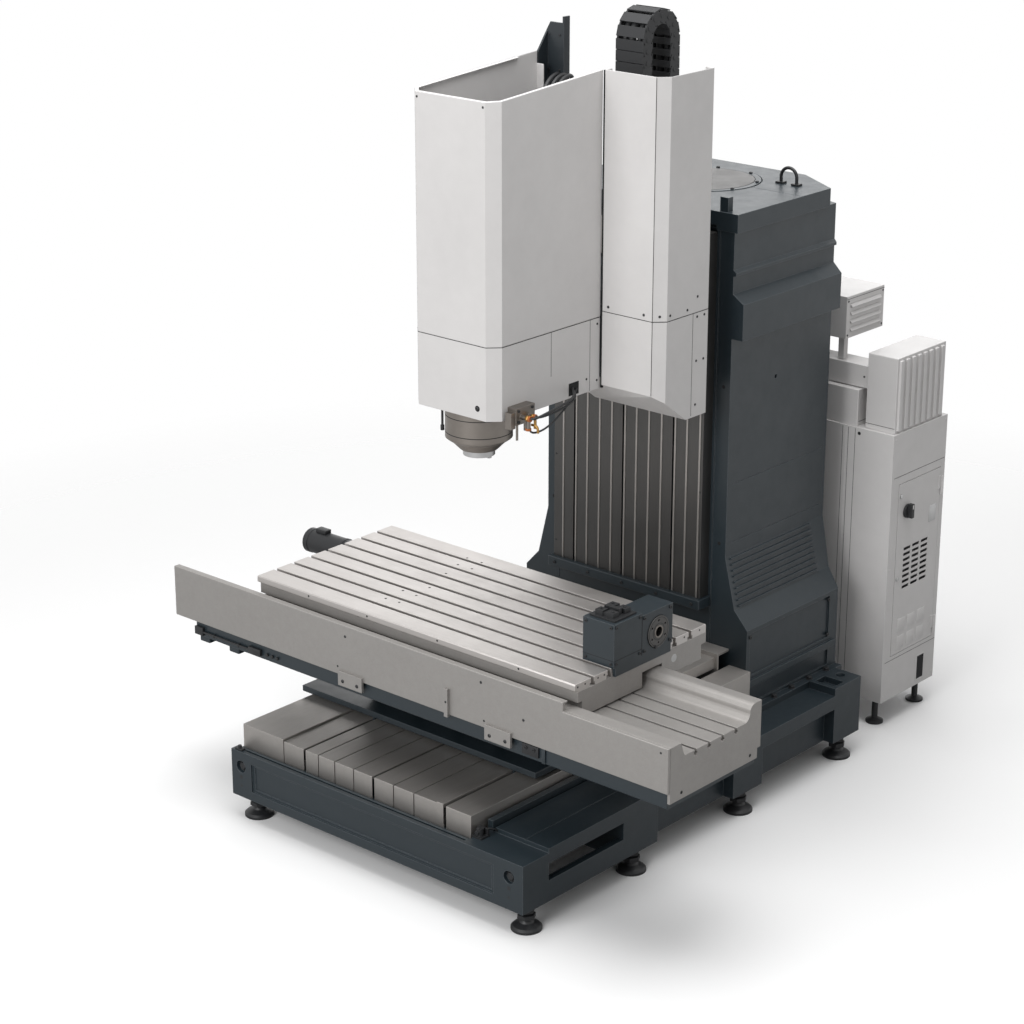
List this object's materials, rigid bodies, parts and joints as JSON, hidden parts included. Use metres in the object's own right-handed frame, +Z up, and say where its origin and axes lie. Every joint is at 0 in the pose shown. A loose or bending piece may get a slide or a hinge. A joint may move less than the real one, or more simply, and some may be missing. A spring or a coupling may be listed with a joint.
{
  "type": "vertical machining center",
  "caption": "Vertical machining center without its enclosure: bed, cross slide, T-slot table with rotary axis, column, spindle head and electrical cabinet.",
  "frame": {"origin": "on the floor under the middle of the whole machine's footprint", "axes": "+X to the right along the table, +Y from the front of the bed back to the column and the cabinet, +Z up"},
  "size_m": [2.659, 2.95, 3.3117],
  "materials": {
    "casting_paint": "blue-grey semi-gloss paint over cast iron, fine orange peel, worn edges",
    "dark_paint": "darker blue-grey paint on small brackets and motor mounts",
    "sheet_steel": "brushed stainless sheet with fine lines along the travel",
    "ground_steel": "ground and hardened steel",
    "table_iron": "milled and ground bare cast iron, satin",
    "cover_paint": "warm light grey powder coat on sheet metal",
    "black_metal": "blackened and painted steel",
    "black_plastic": "black glass-filled nylon"
  },
  "bodies": {
    "root": {"bed_casting": "casting_paint", "leveling_feet": "black_metal", "way_guards": "sheet_steel", "y_rails": "ground_steel", "y_drive": "dark_paint", "lube_fitting": "black_metal", "rear_cover_fixed": "sheet_steel", "column_casting": "casting_paint", "column_cap": "casting_paint", "lifting_bails": "black_metal", "column_guard": "sheet_steel", "guard_bar": "casting_paint", "z_rails": "ground_steel", "z_drive": "dark_paint", "chain_anchor": "dark_paint", "cabinet_shell": "cover_paint", "cabinet_plate": "sheet_steel", "cabinet_feet": "dark_paint", "heat_exchanger": "cover_paint", "duct_beam": "cover_paint", "terminal_box": "cover_paint", "louvre_unit": "cover_paint"},
    "saddle": {"saddle_casting": "casting_paint", "cross_body": "table_iron", "front_apron": "table_iron", "keeper_plates": "cover_paint", "x_rails": "ground_steel", "x_nut": "casting_paint", "y_trucks": "ground_steel", "y_nut": "ground_steel", "rear_cover_moving": "sheet_steel"},
    "cover_stage": {"rear_cover_middle": "sheet_steel"},
    "table": {"table": "table_iron", "table_lands": "table_iron", "table_keels": "ground_steel", "x_trucks": "ground_steel", "x_drive": "ground_steel", "rotary_housing": "casting_paint", "rotary_clamp": "black_metal"},
    "faceplate": {"rotary_faceplate": "ground_steel"},
    "head": {"head_casting": "casting_paint", "z_carriage": "casting_paint", "z_trucks": "ground_steel", "z_nut": "ground_steel", "head_cover_upper": "cover_paint", "head_cover_lower": "cover_paint", "carriage_cover_upper": "cover_paint", "carriage_cover_lower": "cover_paint", "spindle_housing": "ground_steel", "spindle_motor": "black_metal", "nozzle_block": "sheet_steel", "mast_bracket": "dark_paint", "chain_mount": "dark_paint"},
    "spindle": {"spindle_shaft": "ground_steel"},
    "x_screw": {"x_screw": "ground_steel"},
    "y_screw": {"y_screw": "ground_steel"},
    "z_screw": {"z_screw": "ground_steel"},
    "chain": {"chain_loop": "black_plastic"},
    "door": {"cabinet_door": "cover_paint"},
    "switch": {"main_switch": "black_plastic"}
  },
  "joints": [
    {"name": "saddle_y", "type": "slide", "parent": "root", "child": "saddle", "axis": [0, 1, 0], "range_m": [-0.28, 0.35]},
    {"name": "table_x", "type": "slide", "parent": "saddle", "child": "table", "axis": [1, 0, 0], "range_m": [-0.45, 0.45]},
    {"name": "head_z", "type": "slide", "parent": "root", "child": "head", "axis": [0, 0, 1], "range_m": [-0.4, 0.12]},
    {"name": "spindle", "type": "hinge", "parent": "head", "child": "spindle", "pos_m": [-0.0265, -0.835, 1.623], "axis": [0, 0, 1], "continuous": true},
    {"name": "faceplate", "type": "hinge", "parent": "table", "child": "faceplate", "pos_m": [0.8535, -0.787, 1.083], "axis": [1, 0, 0], "continuous": true},
    {"name": "y_screw", "type": "hinge", "parent": "root", "child": "y_screw", "pos_m": [-0.0865, -0.875, 0.338], "axis": [0, 1, 0], "range_deg": [-5400, 6600]},
    {"name": "x_screw", "type": "hinge", "parent": "table", "child": "x_screw", "pos_m": [-0.0265, -0.664, 0.928], "axis": [1, 0, 0], "range_deg": [-8400, 8400]},
    {"name": "z_screw", "type": "hinge", "parent": "root", "child": "z_screw", "pos_m": [-0.0465, 0.155, 1.5], "axis": [0, 0, 1], "range_deg": [-7500, 2500]},
    {"name": "cover_stage", "type": "slide", "parent": "root", "child": "cover_stage", "axis": [0, 1, 0], "range_m": [-0.15, 0.185]},
    {"name": "chain_roll", "type": "slide", "parent": "root", "child": "chain", "axis": [0, 0, 1], "range_m": [-0.21, 0.07]},
    {"name": "cabinet_door", "type": "hinge", "parent": "root", "child": "door", "pos_m": [0.7125, 1.45, 0.74], "axis": [0, 0, 1], "range_deg": [0, 110]},
    {"name": "main_switch", "type": "hinge", "parent": "door", "child": "switch", "pos_m": [0.7045, 1.179, 1.01], "axis": [1, 0, 0], "range_deg": [0, 90]}
  ],
  "couplings": [
    {"joint": "y_screw", "follows": "saddle_y", "rad_per_m": 314.16},
    {"joint": "cover_stage", "follows": "saddle_y", "ratio": 0.5},
    {"joint": "x_screw", "follows": "table_x", "rad_per_m": 314.16},
    {"joint": "z_screw", "follows": "head_z", "rad_per_m": 314.16},
    {"joint": "chain_roll", "follows": "head_z", "ratio": 0.5}
  ]
}
